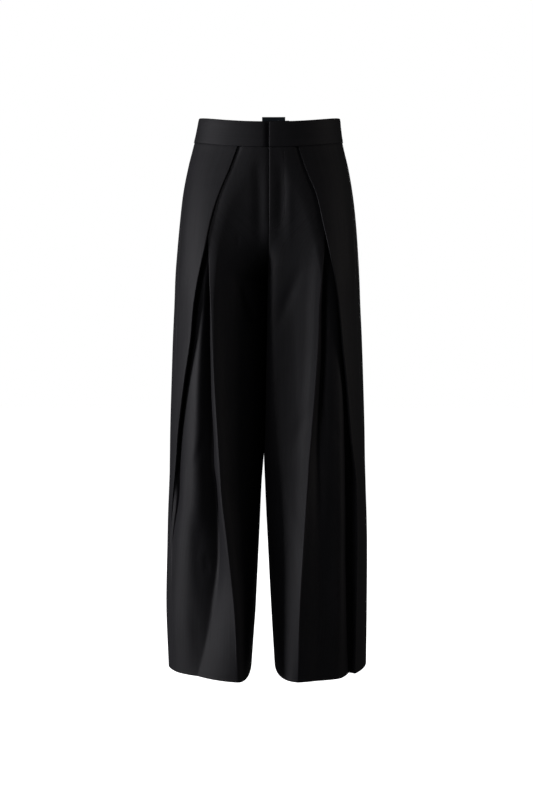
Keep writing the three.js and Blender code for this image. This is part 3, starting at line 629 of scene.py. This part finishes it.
def cloth_shell(name, outer, inner, cloth, material, mirrored):
    """A closed shell between two grids of points in millimetres, with the cloth's own UVs."""
    rows, wide = outer.shape[:2]
    points = np.concatenate([outer.reshape(-1, 3), inner.reshape(-1, 3)]) / 1000
    r, c = np.meshgrid(np.arange(rows - 1), np.arange(wide - 1), indexing="ij")
    a = (r * wide + c).ravel()
    front = np.column_stack([a, a + wide, a + wide + 1, a + 1])
    under = rows * wide
    back = front[:, ::-1] + under
    edge = np.concatenate([
        np.arange(wide),
        np.arange(2, rows + 1) * wide - 1,
        rows * wide - 2 - np.arange(wide - 1),
        np.arange(rows - 2, -1, -1) * wide,
    ])
    rim = np.column_stack([edge[:-1], edge[1:], edge[1:] + under, edge[:-1] + under])
    faces = np.concatenate([front, back, rim])
    if mirrored:
        faces = faces[:, ::-1]
    mesh = bpy.data.meshes.new(name)
    mesh.from_pydata(points.tolist(), [], faces.tolist())
    place = np.concatenate([cloth.reshape(-1, 2)] * 2) / 1000
    layer = mesh.uv_layers.new(name="cloth")
    layer.data.foreach_set("uv", place[faces.ravel()].astype(np.float32).ravel())
    mesh.polygons.foreach_set("use_smooth", np.ones(len(faces), bool))
    mesh.set_sharp_from_angle(angle=math.radians(60))
    mesh.materials.append(material)
    piece = bpy.data.objects.new(name, mesh)
    bpy.context.scene.collection.objects.link(piece)
    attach(piece, "root")
    return piece


def cloth_coordinates(x, y, z):
    """Distance along the cloth from its first column, and height, for every point of a panel's grid."""
    run = np.hypot(np.diff(x, axis=1), np.diff(y, axis=1))
    return np.stack([np.concatenate([np.zeros((len(x), 1)), np.cumsum(run, axis=1)], axis=1), z], axis=-1)


def spaced(*stretches):
    """Heights from the top down: each stretch is (from, to, greatest step)."""
    out = []
    for top, bottom, step in stretches:
        count = max(1, math.ceil((top - bottom) / step))
        out += list(np.linspace(top, bottom, count, endpoint=False))
    return np.array(out + [stretches[-1][1]])


PANEL_TOP = SEAM_Z - SEAM_GAP
PANEL_HEIGHTS = spaced(
    (PANEL_TOP, PANEL_TOP - 1, 0.33), (PANEL_TOP - 1, -50, 1.6), (-50, -180, 8), (-180, -330, 5),
    (-330, HEM_Z + HEM_TURN + 2, 9), (HEM_Z + HEM_TURN + 2, HEM_Z + HEM_TURN - 2, 0.5),
    (HEM_Z + HEM_TURN - 2, HEM_Z + 4, 8), (HEM_Z + 4, HEM_Z + 1, 1), (HEM_Z + 1, HEM_Z, 0.33),
)
SEAM_ROLL = 0.45  # how far the cloth turns in at a seam
CREASE_FADE = 12  # creases die away this close to a seam
SEAM_ROLL_REACH = 1.3
TOP_ROLL_REACH = 1.6
CLOSING_REACH = 7  # the centre seam's edges are drawn together over this much cloth
CENTRE_CLEARANCE = 0.02
HEM_TURN_START = 0.5  # the turn-up's second layer starts this far above its stitching
HEM_FOLD_RADIUS = 0.9
SEAM_EDGE_RADIUS = 0.6
LEG_WAVE = 1.8  # how far the two inner faces, pressed together, wander from side to side
WAVE_LENGTH = 12  # of cloth for each radian of that wave
PRESSED_Z = (-250, -640)  # they are pressed together between these heights
PRESSED_FADE = 60
PRESSED_Y = 18  # around this y
PRESSED_REACH = 45
PRESSED_X = 60  # and this near the centre line


def rounded_edge(distance, radius):
    """How much of a wall's half thickness is left near a folded edge, by the distance from it."""
    near = 1 - np.clip(distance / radius, 0, 1)
    return np.sqrt(np.clip(1 - near * near, 0.02, 1))


def centre_closed(x, run, side, front):
    """x of a panel's points once the edges of the centre seam are drawn together above the crotch."""
    distance = run if front else run[:, -1:] - run
    column = x[:, :1] if front else x[:, -1:]
    lean = np.array([
        (row_at(LEG_COLUMNS, LEFT_LEG, z)["inner"] - row_at(LEG_COLUMNS, RIGHT_LEG, z)["inner"]) / 2
        for z in PANEL_HEIGHTS
    ])[:, None]
    closing = np.exp(-((distance / CLOSING_REACH) ** 2))
    above = PANEL_HEIGHTS[:, None] > CROTCH_Z + 2
    return x + (lean + side["sign"] * CENTRE_CLEARANCE - column) * closing * above


def pressed_legs(x, y, z):
    """How far the inner faces of the legs move aside where they are pressed together."""
    high = eased((PRESSED_Z[0] - z) / PRESSED_FADE)
    low = eased((z - PRESSED_Z[1]) / PRESSED_FADE)
    pressed = high * low * np.exp(-(((y - PRESSED_Y) / PRESSED_REACH) ** 2))
    pressed = pressed * (np.abs(x) < PRESSED_X)
    return LEG_WAVE * np.sin((y - PRESSED_Y) / WAVE_LENGTH) * pressed


def leg_panel(name, side, path_at, creases, part_of, shape):
    """A leg panel's shell. shape gives further depth for every point from its x, z and part."""
    front = path_at is pleated_path
    rows, parts = [], None
    for z in PANEL_HEIGHTS:
        outline = Outline(side, z)
        path, parts = path_at(outline, side, z)
        rows.append(outline.inset(path[:, 0], path[:, 1]))
    grid = np.array(rows)
    x, y = grid[..., 0], grid[..., 1]
    z = np.repeat(PANEL_HEIGHTS[:, None], x.shape[1], axis=1)
    part = np.repeat(part_of(parts)[None], len(x), axis=0)
    cloth = cloth_coordinates(x, y, z)
    normal = section_normals(grid) * side["sign"]
    run = cloth[..., 0].copy()
    if front:
        cloth[..., 0] -= run[:, -1:]
    edge = np.minimum(run, run[:, -1:] - run)
    depth = crease_depths(creases, np.abs(x), z, part) * eased(edge / CREASE_FADE)
    depth += SEAM_ROLL * np.exp(-((edge / SEAM_ROLL_REACH) ** 2))
    depth += SEAM_ROLL * np.exp(-(((z - PANEL_TOP) / TOP_ROLL_REACH) ** 2))
    depth += shape(x, z, part)
    x = x - normal[..., 0] * depth
    y = y - normal[..., 1] * depth
    x = centre_closed(x, run, side, front)
    x = x + pressed_legs(x, y, z)
    grid = np.stack([x, y], axis=-1)
    normal = section_normals(grid) * side["sign"]
    turned = eased(HEM_Z + HEM_TURN + HEM_TURN_START - z)
    half = CLOTH / 2 * rounded_edge(z - HEM_Z, HEM_FOLD_RADIUS) * rounded_edge(edge, SEAM_EDGE_RADIUS)
    high = hung(x, y, z)
    outer = moved_out(x, y, high, normal, half)
    inner = moved_out(x, y, high, normal, -half - turned * CLOTH)
    piece = cloth_shell(name, outer, inner, cloth, suiting, side["sign"] < 0)
    return piece


def front_parts(parts):
    """0 on the centre panel, 1 on the underlay, 2 on the flap, and -1 where the cloth runs behind."""
    flap = np.where(parts > FLAP_KEY, 2, -1)
    underlay = np.where((parts > INNER_KEY) & (parts <= OUTER_KEY), 1, flap)
    return np.where(parts <= CREASE_KEY, 0, underlay)


STITCH_X = 27
STITCH_TOP_Z = -52
STITCH_TURN_Z = -150
STITCH_END_X = 2
STITCH_END_Z = -186
STITCH_GROOVE = 1.6  # half width of the groove that the stitches pull into the cloth
LAP_END_Z = -196
LAP_FADE = 14


def fly_stitch_line():
    """The line of the fly's topstitching, straight down and then round to the fly, as x and z."""
    angle = np.linspace(0, math.pi / 2, 25)
    turn_x = STITCH_END_X + (STITCH_X - STITCH_END_X) * np.cos(angle)
    turn_z = STITCH_TURN_Z + (STITCH_END_Z - STITCH_TURN_Z) * np.sin(angle)
    straight_z = np.linspace(STITCH_TOP_Z, STITCH_TURN_Z, 40, endpoint=False)
    straight_x = np.full(len(straight_z), STITCH_X)
    return np.column_stack([np.append(straight_x, turn_x), np.append(straight_z, turn_z)])


def stitch_distance(x, z):
    line = fly_stitch_line()
    return np.min([np.hypot(x - px, z - pz) for px, pz in line], axis=0)


def front_shape(side):
    """The lap of the fly: the wearer's left edge lies over the right one, down to the end of the opening."""
    proud, reach, groove = (0.8, 9, 0.35) if side["sign"] > 0 else (-0.7, 5, 0)

    def depth(x, z, part):
        open_part = eased((z - LAP_END_Z) / LAP_FADE)
        sunk = groove * np.exp(-((stitch_distance(x, z) / STITCH_GROOVE) ** 2))
        return (sunk - proud * open_part * np.exp(-((np.abs(x) / reach) ** 2))) * (part == 0)

    return depth


fronts = {}
for word, table in (("right", RIGHT_CREASES), ("left", LEFT_CREASES)):
    lap = front_shape(SIDES[word])
    panel = leg_panel(f"{word}_front", SIDES[word], pleated_path, table, front_parts, lap)
    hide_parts(f"front_{word}")
    fronts[word] = panel

# Back panels. Each is one cut from the side seam to the centre back and inseam, with a dart at the waist
# and soft folds that deepen from the seat down to the hem.
BACK_FOLD_COLUMNS = ["share", "width", "depth"]
BACK_FOLDS = [
    [0.3, 0.16, 9],
    [0.56, 0.15, 7],
    [0.8, 0.13, 5],
]
BACK_FOLD_TOP_Z = -240


def back_path(outline, side, z):
    start = outline.seam - SIDE_SEAM_MEET
    end = outline.total
    stops = [start, start + SEAM_STRIP, outline.rear, end - SEAM_STRIP, end]
    steps = [4, 46, 44, 4]
    stretches = [np.linspace(a, b, n, endpoint=False) for a, b, n in zip(stops, stops[1:], steps)]
    u = np.concatenate(stretches + [[end]])
    share = (u - start) / (end - start)
    deepen = eased((BACK_FOLD_TOP_Z - z) / (BACK_FOLD_TOP_Z - HEM_Z))
    d = np.zeros_like(u)
    for values in BACK_FOLDS:
        fold = dict(zip(BACK_FOLD_COLUMNS, values))
        d += deepen * fold["depth"] * eased(1 - np.abs(share - fold["share"]) / fold["width"])
    return np.column_stack([u, d]), np.zeros(len(u), int)


BACK_CREASES_RIGHT = [
    [0, 70, -52, 66, -128, 0, 1.1, 0.6],
    [0, 20, -285, 80, -330, 10, 9, 1.8],
    [0, 24, -320, 96, -352, 9, 10, 1.4],
    [0, 110, -250, 150, -330, -6, 12, 1.2],
    [0, 30, -560, 90, -590, 6, 11, 1.6],
    [0, 52, -600, 118, -622, 6, 10, 1.3],
    [0, 100, -545, 150, -590, 5, 11, 1.2],
    [0, 60, -860, 110, -900, 5, 12, 1.2],
]
BACK_CREASES_LEFT = [
    [0, 68, -52, 65, -126, 0, 1.1, 0.6],
    [0, 18, -290, 84, -326, 9, 9, 1.7],
    [0, 30, -326, 90, -360, 9, 9, 1.3],
    [0, 104, -240, 146, -320, -6, 12, 1.1],
    [0, 26, -574, 86, -598, 6, 11, 1.5],
    [0, 60, -612, 120, -640, 5, 10, 1.2],
    [0, 44, -820, 96, -870, 5, 12, 1.3],
]
for word, table in (("right", BACK_CREASES_RIGHT), ("left", BACK_CREASES_LEFT)):
    whole = lambda parts: parts
    level = lambda x, z, part: np.zeros_like(x)
    panel = leg_panel(f"{word}_back", SIDES[word], back_path, table, whole, level)
    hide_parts(f"back_{word}")

# Waistband. A straight band of suiting folded over a stiffener, in two fronts and a back, whose right front
# runs on beneath the left one to carry the hook. Its top edge is a fold and its lower edge is turned under
# at the seam.
BAND_WALL = 2.6
BAND_CLOTH_EDGE = 1.2  # radius of its folded edges
UNDERLAP = 36
UNDERLAP_DEPTH = 4.4
UNDERLAP_JOIN = 2.5  # where the extension meets the band's own line
LAP_RUN = 9
LAP_PROUD = -1.5  # the left front stands forward at its lapping edge
LAP_SLOPE = 28  # over this length
BAND_PAD = 0.25  # its face swells a little this far in from its long edges
PAD_IN = 6
PAD_REACH = 4
BAND_WAVE = 0.12  # and waves very slightly along its length
WAVE_RUN = 21
WAVE_FADE = 8
BAND_HEIGHTS = spaced((0, -1.5, 0.3), (-1.5, SEAM_Z + 1.5, 5), (SEAM_Z + 1.5, SEAM_Z, 0.3))


def band_piece(name, node, line_at, mirrored):
    """A piece of the band from the line of points it follows at each height."""
    grid = np.array([line_at(z) for z in BAND_HEIGHTS])
    normal = section_normals(grid) * (-1 if mirrored else 1)
    x, y = grid[..., 0], grid[..., 1]
    z = np.repeat(BAND_HEIGHTS[:, None], x.shape[1], axis=1)
    cloth = cloth_coordinates(x, y, z)
    run = cloth[..., 0]
    end = np.minimum(run, run[:, -1:] - run)
    rim = np.minimum(-z, z - SEAM_Z)
    half = BAND_WALL / 2 * rounded_edge(rim, BAND_CLOTH_EDGE) * rounded_edge(end, BAND_CLOTH_EDGE)
    wave = BAND_WAVE * np.sin(run / WAVE_RUN) * eased(rim / WAVE_FADE)
    pad = BAND_PAD * np.exp(-(((rim - PAD_IN) / PAD_REACH) ** 2)) + wave
    high = hung(x, y, z)
    outer = moved_out(x, y, high, normal, half + pad)
    inner = moved_out(x, y, high, normal, -half)
    piece = cloth_shell(name, outer, inner, cloth[..., ::-1], suiting, mirrored)
    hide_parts(node)
    return piece


def eased_run(end, steps, fine):
    """Distances from 0 to end, close together within the last millimetres at both ends."""
    next_step = 1.5
    even = np.linspace(fine[-1] + next_step, end - fine[-1] - next_step, steps)
    return np.concatenate([fine, even, end - fine[::-1]])


FINE_ENDS = np.array([0, 0.15, 0.4, 0.8, 1.3])


def front_band_line(side, z):
    outline = Outline(side, z)
    lap, reach = (UNDERLAP_DEPTH, LAP_RUN) if side["sign"] < 0 else (LAP_PROUD, LAP_SLOPE)
    u = eased_run(outline.seam - SEAM_GAP / 2, 60, FINE_ENDS)
    return outline.inset(u, lap * (1 - eased(u / reach)))


def across(z, start, end, depth, steps, back=False):
    """Points across the front or back at height z, from one x to another, at a depth behind the outline."""
    line = []
    for x in np.linspace(start, end, steps + 1):
        outline = Outline(SIDES["right"] if x < 0 else SIDES["left"], z)
        u = outline.back_at(abs(x)) if back else outline.front_at(abs(x))
        line.append(outline.inset([u], depth)[0])
    return np.array(line)


def extended_band_line(z):
    underlap = across(z, UNDERLAP, UNDERLAP_JOIN, UNDERLAP_DEPTH, 14)
    return np.vstack([underlap, front_band_line(SIDES["right"], z)[3:]])


def back_band_line(z):
    halves = []
    for word in ("right", "left"):
        outline = Outline(SIDES[word], z)
        start = outline.seam + SEAM_GAP / 2
        u = np.concatenate([start + FINE_ENDS, np.linspace(start + 4, outline.total - 1.5, 44)])
        halves.append(outline.inset(u, 0))
    return np.vstack([halves[0], halves[1][::-1]])


left_band_line = lambda z: front_band_line(SIDES["left"], z)
band_piece("left_waistband", "waistband_front_left", left_band_line, False)
band_piece("right_waistband", "waistband_front_right", extended_band_line, True)
band_piece("back_waistband", "waistband_back", back_band_line, True)

# Fly. A closed zip behind the lap, its tapes sewn to the two fronts, with metal teeth, and behind it the
# shield, a folded strip of suiting that keeps the zip off the wearer.
FLY_HEIGHTS = spaced((SEAM_Z - 0.6, SEAM_Z - 1.6, 0.3), (SEAM_Z - 1.6, -176, 6))
SHIELD_HEIGHTS = spaced((SEAM_Z - 0.6, SEAM_Z - 1.6, 0.3), (SEAM_Z - 1.6, -181, 6), (-181, -182, 0.3))
ZIP_BOTTOM_Z = -176
TOOTH_PITCH = 2.5


def flat_strip(name, node, heights, line_at, wall, material, at_back=False):
    """A thin piece that runs across the garment, from the line of points it follows at each height."""
    grid = np.array([line_at(z) for z in heights])
    x, y = grid[..., 0], grid[..., 1]
    z = np.repeat(heights[:, None], x.shape[1], axis=1)
    cloth = cloth_coordinates(x, y, z)
    run = cloth[..., 0]
    half = wall / 2 * rounded_edge(np.minimum(run, run[:, -1:] - run), wall / 2)
    normal = section_normals(grid) * (-1 if at_back else 1)
    high = hung(x, y, z)
    outer = moved_out(x, y, high, normal, half)
    inner = moved_out(x, y, high, normal, -half)
    piece = cloth_shell(name, outer, inner, cloth, material, at_back)
    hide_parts(node)
    return piece


def moulded(name, boxes, material, bevel):
    """Small hard parts, each box (centre, size) in millimetres, with rounded edges, as one piece."""
    points, faces = [], []
    for centre, size in boxes:
        start = len(points)
        for dx, dy, dz in ((a, b, c) for a in (-1, 1) for b in (-1, 1) for c in (-1, 1)):
            points.append([(m + d * w / 2) / 1000 for m, d, w in zip(centre, (dx, dy, dz), size)])
        for face in ((0, 1, 3, 2), (4, 6, 7, 5), (0, 4, 5, 1), (2, 3, 7, 6), (0, 2, 6, 4), (1, 5, 7, 3)):
            faces.append([start + k for k in face])
    mesh = bpy.data.meshes.new(name)
    mesh.from_pydata(points, [], faces)
    mesh.materials.append(material)
    piece = bpy.data.objects.new(name, mesh)
    bpy.context.scene.collection.objects.link(piece)
    rounding = piece.modifiers.new("rounded_edges", "BEVEL")
    rounding.width = bevel / 1000
    rounding.segments = 2
    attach(piece, "root")
    return piece


def grained_material(name, colour, roughness, metallic=1):
    """Brushed metal, or with no metallic share a thread, with a fine grain in its gloss."""
    spread_each_way = 0.08
    material = bpy.data.materials.new(name)
    material.use_nodes = True
    tree = material.node_tree
    shader = tree.nodes["Principled BSDF"]
    shader.inputs["Metallic"].default_value = metallic
    shader.inputs["Base Color"].default_value = colour
    grain = tree.nodes.new("ShaderNodeTexNoise")
    grain.inputs["Scale"].default_value = 900
    spread = tree.nodes.new("ShaderNodeMapRange")
    spread.inputs["To Min"].default_value = roughness - spread_each_way
    spread.inputs["To Max"].default_value = roughness + spread_each_way
    tree.links.new(grain.outputs["Fac"], spread.inputs["Value"])
    tree.links.new(spread.outputs["Result"], shader.inputs["Roughness"])
    return material


tape_cloth = woven_material(
    "zip_tape", (0.006, 0.006, 0.007, 1), (0.011, 0.011, 0.013, 1), 0, (1, 1, 1, 1), 0.0003
)
zip_metal = grained_material("zip_metal", (0.16, 0.16, 0.17, 1), 0.4)
hook_metal = grained_material("hook_metal", (0.55, 0.55, 0.56, 1), 0.3)
TAPE_HALF = 12
TAPE_DEPTH = 1.55
TAPE_WALL = 0.5
TEETH_DEPTH = 2.15
TOOTH_SIZE = (2.6, 0.6, 0.95)
SHIELD_FROM = -4
SHIELD_DEPTH = 3.3
tape_line = lambda z: across(z, -TAPE_HALF, TAPE_HALF, TAPE_DEPTH, 12)
shield_line = lambda z: across(z, SHIELD_FROM, UNDERLAP, SHIELD_DEPTH, 16)
tape = flat_strip(
    "zip_tape", "fly_zip", FLY_HEIGHTS, tape_line, TAPE_WALL, tape_cloth,
)
teeth = []
for k, z in enumerate(np.arange(SEAM_Z - 6, ZIP_BOTTOM_Z + 4, -TOOTH_PITCH / 2)):
    spot = across(z, 0.1, 0.1, TEETH_DEPTH, 1)[0]
    tooth_x = spot[0] + (1 if k % 2 else -1)
    teeth.append(((tooth_x, spot[1], hung(0, spot[1], z)), TOOTH_SIZE))
zip_teeth = moulded("zip_teeth", teeth, zip_metal, 0.12)
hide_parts("fly_zip")
shield = flat_strip(
    "fly_shield_strip", "fly_shield", SHIELD_HEIGHTS, shield_line, 1.0, suiting,
)

# Hook. A flat stamped hook behind the left front of the band, fastened on its bar. It is five joined
# plates that follow the band's curve.
HOOK_DEPTH = 2.2
HOOK_X = (9, 24)
HOOK_END = 1.5  # the outer bars' middles stand in by this much
HOOK_MIDDLE_Z = -22
HOOK_BAR_SIZE = (3.4, 0.7, 13)
hook_boxes = []
for x in np.linspace(HOOK_X[0] + HOOK_END, HOOK_X[1] - HOOK_END, 5):
    spot = across(HOOK_MIDDLE_Z, x, x, HOOK_DEPTH, 1)[0]
    hook_boxes.append(((spot[0], spot[1], hung(x, spot[1], HOOK_MIDDLE_Z)), HOOK_BAR_SIZE))
hook = moulded("band_hook", hook_boxes, hook_metal, 0.25)
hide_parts("waist_hook")

# Label. A bare strip of dark satin, sewn inside the back of the band, standing a little above its edge.
satin = woven_material(
    "label_satin", (0.004, 0.009, 0.014, 1), (0.007, 0.016, 0.024, 1), 0.1, (0.7, 0.85, 1, 1), 0.0001
)
LABEL_X = (-13, 31)
LABEL_DEPTH = 2.0
LABEL_WALL = 0.7
label_line = lambda z: across(z, *LABEL_X, LABEL_DEPTH, 18, True)
LABEL_HEIGHTS = spaced((12, 11, 0.3), (11, -27, 3), (-27, -28, 0.3))
label = flat_strip(
    "label_strip", "back_label", LABEL_HEIGHTS, label_line, LABEL_WALL, satin,
    at_back=True,
)

# Topstitching of the fly, a row of short threads sunk into the left front.
STITCH_LENGTH = 2.6
STITCH_PITCH = 3.3
THREAD = 0.42
RING_POINTS = 6
RING_SHARES = (0, 0.2, 0.5, 0.8, 1)
left_mesh = fronts["left"].data
cloth_tree = BVHTree.FromPolygons(
    [v.co.copy() for v in left_mesh.vertices], [list(f.vertices) for f in left_mesh.polygons]
)
line = fly_stitch_line()
along = np.concatenate([[0], np.cumsum(np.hypot(*np.diff(line, axis=0).T))])
points, faces = [], []
for start in np.arange(0, along[-1] - STITCH_LENGTH, STITCH_PITCH):
    rings = []
    for share in RING_SHARES:
        at = start + share * STITCH_LENGTH
        x, z = (np.interp(at, along, line[:, k]) for k in (0, 1))
        ahead_x, ahead_z = (np.interp(at + 0.5, along, line[:, k]) for k in (0, 1))
        behind_x, behind_z = (np.interp(at - 0.5, along, line[:, k]) for k in (0, 1))
        dx, dz = ahead_x - behind_x, ahead_z - behind_z
        length = math.hypot(dx, dz)
        side_x, side_z = -dz / length, dx / length
        hit = cloth_tree.ray_cast((x / 1000, -0.3, (z - FRONT_DIP) / 1000), (0, 1, 0))[0]
        radius = THREAD / 2 * (0.25 if share in (0, 1) else 1)
        lift = THREAD * (0.05 if share in (0, 1) else 0.35)
        ring = []
        for angle in np.linspace(0, 2 * math.pi, RING_POINTS, endpoint=False):
            a, b = math.cos(angle) * radius, math.sin(angle) * radius
            ring.append((hit.x + a * side_x / 1000, hit.y - (b + lift) / 1000, hit.z + a * side_z / 1000))
        rings.append(ring)
    first = len(points)
    points += [spot for ring in rings for spot in ring]
    for r in range(len(RING_SHARES) - 1):
        for c in range(RING_POINTS):
            a = first + r * RING_POINTS + c
            b = first + r * RING_POINTS + (c + 1) % RING_POINTS
            faces.append((a, b, b + RING_POINTS, a + RING_POINTS))
    last = len(points) - RING_POINTS
    faces.append(tuple(first + c for c in reversed(range(RING_POINTS))))
    faces.append(tuple(last + c for c in range(RING_POINTS)))
thread = grained_material("thread", (0.02, 0.02, 0.022, 1), 0.6, metallic=0)
stitch_mesh = bpy.data.meshes.new("fly_topstitch")
stitch_mesh.from_pydata(points, [], faces)
stitch_mesh.materials.append(thread)
topstitch = bpy.data.objects.new("fly_topstitch", stitch_mesh)
bpy.context.scene.collection.objects.link(topstitch)
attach(topstitch, "root")
